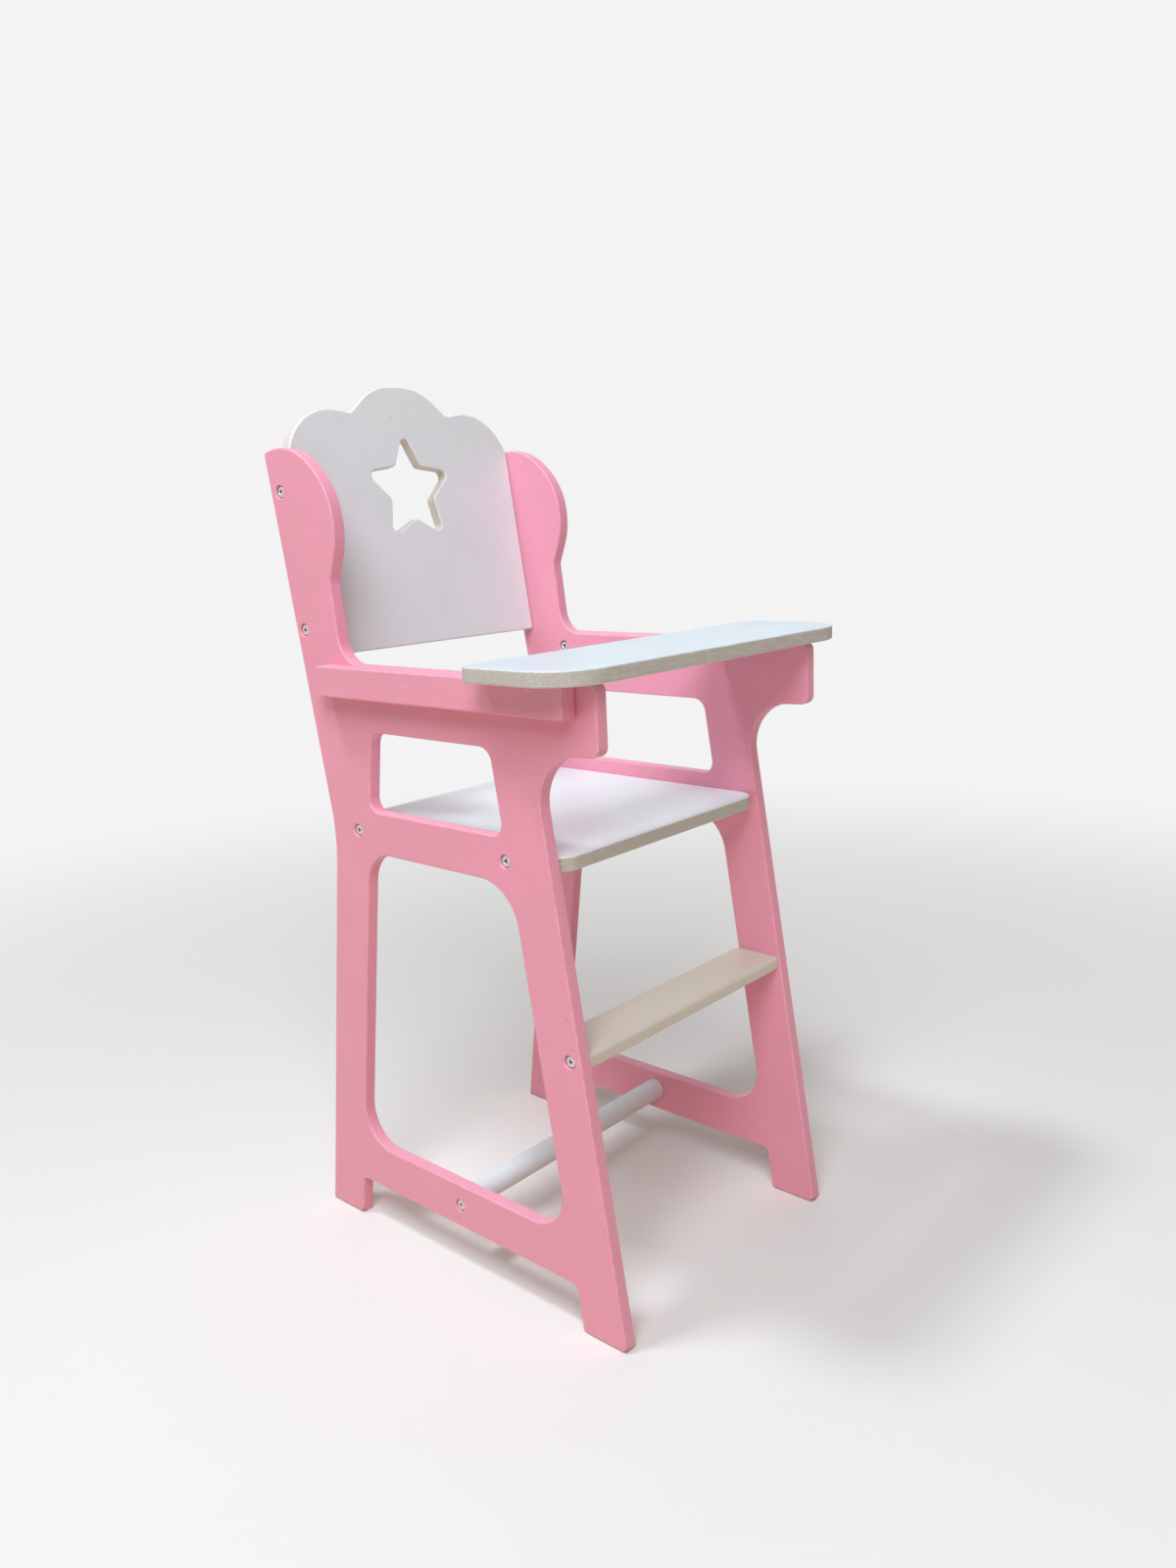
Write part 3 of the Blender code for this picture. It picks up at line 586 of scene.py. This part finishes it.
MATERIALS = {
    "pink_paint": paint(
        "pink_paint", PINK, PINK_WORN_AND_HIGHLIT, roughness=0.44, fibre_height=0.028, sheen=PINK_SHEEN, chipped=True),
    "pink_arm": paint(
        "pink_arm", PINK, PINK_WORN_AND_HIGHLIT, roughness=0.46, fibre_height=0.07, sheen=PINK_SHEEN, scratched=True),
    "white_paint": paint("white_paint", BAR_WHITE, WHITE_WORN_AND_HIGHLIT, roughness=0.40, fibre_height=0.03),
    "white_back": paint(
        "white_back", WHITE, WHITE_WORN_AND_HIGHLIT, roughness=0.40, fibre_height=0.02, daub=0.3, thin=THIN_BACK_WHITE),
    "white_seat": paint("white_seat", SEAT_WHITE, WHITE_WORN_AND_HIGHLIT, roughness=0.40, fibre_height=0.03, daub=0.15),
    # The tray's paint is darker and bluer: painted shade in a cool light
    "white_tray": paint("white_tray", TRAY_WHITE_PAINTED_SHADE, WHITE_WORN_AND_HIGHLIT, roughness=0.40, fibre_height=0.05, daub=0.42),
    # The footrest's paint is darker and warmer: painted shade from the seat and tray above it
    "white_footrest": paint("white_footrest", FOOTREST_WHITE_PAINTED_SHADE, WHITE_WORN_AND_HIGHLIT, roughness=0.42, fibre_height=0.06),
    "zinc_steel": steel("zinc_steel"),
    "beech": beech("beech"),
}

# The finish of each node: its slot's, or one of its own
FINISH_OF = dict(SLOT_OF)
FINISH_OF.update({
    "left_tray_arm": "pink_arm",
    "right_tray_arm": "pink_arm",
    "backrest": "white_back",
    "seat": "white_seat",
    "tray_board": "white_tray",
    "footrest": "white_footrest",
})


# Pieces
def finished(name, mesh, matrix, *nodes):
    """A piece that stands for the frame's nodes, in their material and on their body."""
    node = nodes[0]
    mesh.materials.clear()
    mesh.materials.append(MATERIALS[FINISH_OF[node]])
    piece = placed(name, mesh, matrix)
    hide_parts(*nodes)
    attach(piece, BODY_OF[node])
    return piece


def evaluated_mesh(body):
    """The mesh that the viewport would show for a body, which is then removed."""
    bpy.context.view_layer.update()
    mesh = bpy.data.meshes.new_from_object(body.evaluated_get(bpy.context.evaluated_depsgraph_get()))
    bpy.data.objects.remove(body, do_unlink=True)
    return mesh


def tidied(mesh):
    """Weld a mesh, turn its faces outwards and shade it smoothly up to the sharp edges."""
    shape = bmesh.new()
    shape.from_mesh(mesh)
    bmesh.ops.remove_doubles(shape, verts=shape.verts, dist=WELD)
    bmesh.ops.recalc_face_normals(shape, faces=shape.faces)
    shape.to_mesh(mesh)
    shape.free()
    mesh.shade_smooth()
    mesh.set_sharp_from_angle(angle=math.radians(SHARP_FROM_DEG))
    return mesh


def turned(name, profile, sides):
    """A mesh of revolution about Z from a profile of radii and heights that starts and ends on the axis."""
    shape = bmesh.new()
    points = [shape.verts.new((radius, 0, height)) for radius, height in profile]
    edges = [shape.edges.new(pair) for pair in zip(points, points[1:])]
    bmesh.ops.spin(
        shape, geom=points + edges, cent=(0, 0, 0), axis=(0, 0, 1), dvec=(0, 0, 0),
        angle=math.tau, steps=sides, use_merge=True)
    return tidied(baked(name, shape))


def cut_by(target, cutters):
    """The target's mesh without the cutters' shapes; the target and the cutters are removed."""
    for cutter in cutters:
        boolean = target.modifiers.new(cutter.name, "BOOLEAN")
        boolean.operation = "DIFFERENCE"
        boolean.solver = "EXACT"
        boolean.object = cutter
    mesh = evaluated_mesh(target)
    for cutter in cutters:
        bpy.data.objects.remove(cutter, do_unlink=True)
    return mesh


# Outlines read from the frame
def welded(node):
    """The node's mesh with the corners joined that its export split."""
    shape = bmesh.new()
    shape.from_mesh(frame["nodes"][node].data)
    bmesh.ops.remove_doubles(shape, verts=shape.verts, dist=WELD)
    return shape


def thin_way(shape):
    """The direction through a board, square to its largest face."""
    normal = max(shape.faces, key=lambda face: face.calc_area()).normal.copy()
    main = max(normal, key=abs)
    return normal * math.copysign(1, main)


def board_place(shape, through):
    """A matrix with the board's middle, its long way, its way up or back, and the way through it."""
    up = BACK if abs(through.z) > abs(through.y) and abs(through.z) > abs(through.x) else UP
    up = (up - through * up.dot(through)).normalized()
    axes = (up.cross(through), up, through)
    middle = Vector()
    for axis in axes:
        reach = [vertex.co.dot(axis) for vertex in shape.verts]
        middle += axis * (min(reach) + max(reach)) / 2
    turn = Matrix(axes).transposed().to_4x4()
    return Matrix.Translation(middle) @ turn


def rim_loops(shape, depth):
    """Closed loops of the mesh edges that lie that far below its upper face, as 2D points."""
    ring = max(vertex.co.z for vertex in shape.verts) - depth
    neighbours = {}
    for edge in shape.edges:
        if any(abs(vertex.co.z - ring) > RING_TOLERANCE for vertex in edge.verts):
            continue
        normals = [face.normal for face in edge.link_faces]
        if normals[0].dot(normals[1]) > math.cos(math.radians(ARC_LEAST_DEG)):
            continue
        first, second = edge.verts
        neighbours.setdefault(first, []).append(second)
        neighbours.setdefault(second, []).append(first)
    loops = []
    free = set(neighbours)
    while free:
        loop = [min(free, key=lambda vertex: vertex.index)]
        free.discard(loop[0])
        onward = loop
        while onward:
            onward = [vertex for vertex in neighbours[loop[-1]] if vertex in free][:1]
            loop += onward
            free.difference_update(onward)
        loops.append([vertex.co.to_2d() for vertex in loop])
    return loops


def arc_turn(chords, turns, index):
    """The angle that an arc, whose chords are alike, turns over one of them; 0 for a straight edge."""
    length = chords[index].length
    after = (index + 1) % len(chords)
    for other, turn in ((index - 1, turns[index]), (after, turns[after])):
        alike = abs(chords[other].length - length) < SAME_CHORD_SHARE * length
        if alike and math.radians(ARC_LEAST_DEG) < abs(turn) < math.radians(ARC_MOST_DEG):
            return turn
    return 0.0


def arc_points(start, chord, turn):
    """The points of an arc between its chord's ends."""
    centre = start + chord / 2 + Vector((-chord.y, chord.x)) / (2 * math.tan(turn / 2))
    pieces = math.ceil(abs(turn) / math.radians(ARC_STEP_DEG))
    points = []
    for piece in range(1, pieces):
        arm = start - centre
        arm.rotate(Matrix.Rotation(turn * piece / pieces, 2))
        points.append(centre + arm)
    return points


def refined(loop):
    """The loop with more points on its arcs, which the frame gives as even chords."""
    count = len(loop)
    chords = [loop[(index + 1) % count] - loop[index] for index in range(count)]
    turns = [-chords[index - 1].angle_signed(chords[index]) for index in range(count)]
    points = []
    for index, start in enumerate(loop):
        points.append(start)
        turn = arc_turn(chords, turns, index)
        if turn:
            points += arc_points(start, chords[index], turn)
    return points


# Boards
def outline_curve(name, loops, thickness, rounding):
    """A flat curve, filled between its loops, that is as thick as a board and has its round rims."""
    curve = bpy.data.curves.new(name, "CURVE")
    curve.dimensions = "2D"
    curve.fill_mode = "BOTH"
    curve.extrude = thickness / 2 - rounding
    curve.bevel_depth = rounding
    curve.bevel_resolution = RIM_RESOLUTION
    curve.offset = -rounding
    for loop in loops:
        points = refined(loop)
        spline = curve.splines.new("POLY")
        spline.points.add(len(points) - 1)
        spline.use_cyclic_u = True
        for point, co in zip(spline.points, points):
            point.co = (co.x, co.y, 0, 1)
    return curve


def board_body(node, rounding, through=None):
    """A board drawn again from its frame outline, with fine arcs, and its thickness."""
    shape = welded(node)
    place = board_place(shape, through or thin_way(shape))
    shape.transform(place.inverted())
    thickness = 2 * max(vertex.co.z for vertex in shape.verts)
    loops = rim_loops(shape, rounding)
    shape.free()
    if not rounding:
        # Holes in hidden ends are left out
        loops = [max(loops, key=lambda loop: max(point.x for point in loop))]
    curve = outline_curve(node, loops, thickness, rounding)
    mesh = tidied(evaluated_mesh(placed(node + "_outline", curve)))
    return placed(node + "_solid", mesh, place), thickness


def mark_rim(mesh, thickness, rounding):
    """An attribute that is 1 on the middle of the round-over and 0 where it meets face and wall."""
    rim = mesh.attributes.new("rim", "FLOAT", "POINT")
    for vertex, value in zip(mesh.vertices, rim.data):
        depth = thickness / 2 - abs(vertex.co.z)
        lean = math.acos(min(1, max(0, 1 - depth / rounding)))
        value.value = math.sin(2 * lean)


def mark_height(mesh, place):
    """An attribute with the height over the floor, for the chips on the feet."""
    height = mesh.attributes.new("height", "FLOAT", "POINT")
    for vertex, value in zip(mesh.vertices, height.data):
        value.value = (place @ vertex.co).z


def finish_board(node, body, thickness, cutters=(), level=False):
    """The finished piece; a level one has its axes along the chair's, so that its grain runs across."""
    place = body.matrix_world.copy()
    mesh = tidied(cut_by(body, cutters))
    mesh.name = node + "_finished"
    mark_rim(mesh, thickness, RIM_ROUND)
    mark_height(mesh, place)
    if level:
        mesh.transform(place.to_3x3().to_4x4())
        place = Matrix.Translation(place.translation)
    piece = finished(mesh.name, mesh, place, node)
    piece.modifiers.new("even_shading", "WEIGHTED_NORMAL").keep_sharp = True


# Screws
def head_way(node):
    """The direction that a screw's head faces: away from the chair, or inwards at the tray's pivots."""
    low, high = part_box(node)
    outward = math.copysign(1, low[0] + high[0])
    return -outward if "pivot" in node else outward


def screw_place(node, turn=0.0):
    """A matrix at the top of a screw's head, +Z out of the head."""
    low, high = map(Vector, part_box(node))
    middle = (low + high) / 2
    way = head_way(node)
    middle.x = high.x if way > 0 else low.x
    tilt = Matrix.Rotation(way * math.pi / 2, 4, "Y")
    return Matrix.Translation(middle) @ tilt @ Matrix.Rotation(turn, 4, "Z")


def screw_sizes(node):
    """A screw's length and its head's radius."""
    low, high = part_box(node)
    return high[0] - low[0], (high[2] - low[2]) / 2


def hole_cutter(node):
    """The room round a screw: lip, straight wall, floor under the head and hole for the shank."""
    length, radius = screw_sizes(node)
    wall = radius + HOLE_PLAY
    shank = SHANK_RADIUS + HOLE_GAP
    floor = -HEAD_HEIGHT - HOLE_GAP
    profile = [
        (0, SCREW_SINK + CUT_OVERRUN),
        (wall + HOLE_LIP + CUT_OVERRUN, SCREW_SINK + CUT_OVERRUN),
        (wall + HOLE_LIP, SCREW_SINK),
        (wall, SCREW_SINK - HOLE_LIP),
        (wall, floor),
        (shank, floor),
        (shank, -length - HOLE_GAP),
        (0, -length - HOLE_GAP),
    ]
    return placed(node + "_hole", turned(node + "_hole", profile, SCREW_SIDES), screw_place(node))


def tapered_bar(name, turn):
    """A wedge that narrows downwards, one arm pair of the cross recess."""
    shape = bmesh.new()
    bmesh.ops.create_cube(shape, size=2 * RECESS_DEPTH)
    for vertex in shape.verts:
        share = RECESS_TAPER_SHARE if vertex.co.z < 0 else 2 - RECESS_TAPER_SHARE
        vertex.co.x = math.copysign(share * RECESS_LENGTH / 2, vertex.co.x)
        vertex.co.y = math.copysign(share * RECESS_WIDTH / 2, vertex.co.y)
    return placed(name, baked(name, shape), Matrix.Rotation(turn, 4, "Z"))


def screw_mesh(name, length, radius):
    """A zinc screw: low crowned head with a round edge and a cross recess, shank and tip."""
    crown = radius - HEAD_EDGE
    profile = [
        (0, 0),
        (crown / 2, -HEAD_CROWN_HALFWAY),
        (crown, -HEAD_CROWN),
        (radius - HEAD_EDGE * HEAD_EDGE_SHARE, -HEAD_EDGE * HEAD_EDGE_SHARE),
        (radius, -HEAD_EDGE),
        (radius, -HEAD_HEIGHT * HEAD_WALL_SHARE),
        (SHANK_RADIUS, -HEAD_HEIGHT),
        (SHANK_RADIUS, TIP_LENGTH - length),
        (TIP_RADIUS, -length),
        (0, -length),
    ]
    body = placed(name, turned(name, profile, SCREW_SIDES))
    mesh = cut_by(body, [tapered_bar(name + "_slot", 0), tapered_bar(name + "_cross_slot", math.pi / 2)])
    mesh.name = name
    return tidied(mesh)


def crossbar_mesh(length, radius):
    """A turned rod with softly rounded ends."""
    half = length / 2
    arc = []
    for ring in range(BAR_END_RINGS + 1):
        angle = math.pi / 2 * ring / BAR_END_RINGS
        arc.append((
            radius - BAR_END_ROUND * (1 - math.sin(angle)),
            half - BAR_END_ROUND * (1 - math.cos(angle))))
    profile = [(0, half), *arc, *((across, -height) for across, height in reversed(arc)), (0, -half)]
    return turned("crossbar_finished", profile, BAR_SIDES)


# The chair's pieces, kind by kind
def make_side_panels():
    for side in ("left", "right"):
        node = side + "_side_panel"
        body, thickness = board_body(node, RIM_ROUND)
        cutters = [hole_cutter(screw) for screw in SCREWS if screw.startswith(side)]
        finish_board(node, body, thickness, cutters)


def make_boards():
    for node in ("backrest", "seat", "tray_board", "left_tray_arm", "right_tray_arm"):
        body, thickness = board_body(node, RIM_ROUND)
        finish_board(node, body, thickness)


def make_footrest():
    """The footrest, drawn from its profile, because its long edges are round and its ends are plain."""
    body, length = board_body("footrest", 0.0, ACROSS)
    finish_board("footrest", body, length, level=True)


def make_crossbar():
    low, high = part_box("crossbar")
    bar = crossbar_mesh(high[0] - low[0], (high[2] - low[2]) / 2)
    bar.transform(Matrix.Rotation(math.pi / 2, 4, "Y"))
    finished("crossbar_finished", bar, Matrix.Translation((Vector(low) + Vector(high)) / 2), "crossbar")


def make_screws():
    """The screws, which share a mesh kind by kind, each with its recess turned its own way."""
    shapes = {}
    for index, node in enumerate(SCREWS):
        length, radius = screw_sizes(node)
        kind = "pivot_screw_finished" if "pivot" in node else "fixing_screw_finished"
        if kind not in shapes:
            shapes[kind] = screw_mesh(kind, length, radius)
        place = screw_place(node, index * math.radians(DRIVE_TURN_DEG))
        finished(node + "_finished", shapes[kind], place, node)


# The scene
make_camera()
make_stage()
make_world()
make_light("key", KEY_DIRECTION, KEY_SIZE, KEY_POWER, KEY_COLOUR)
make_light("soft_box", BOX_DIRECTION, BOX_SIZE, BOX_POWER, BOX_COLOUR)
bpy.context.scene.view_settings.view_transform = "Standard"
make_side_panels()
make_boards()
make_footrest()
make_crossbar()
make_screws()

# The frame's own nodes, for those that no piece replaces
for node, body in frame["nodes"].items():
    body.data.materials.clear()
    body.data.materials.append(MATERIALS[FINISH_OF[node]])
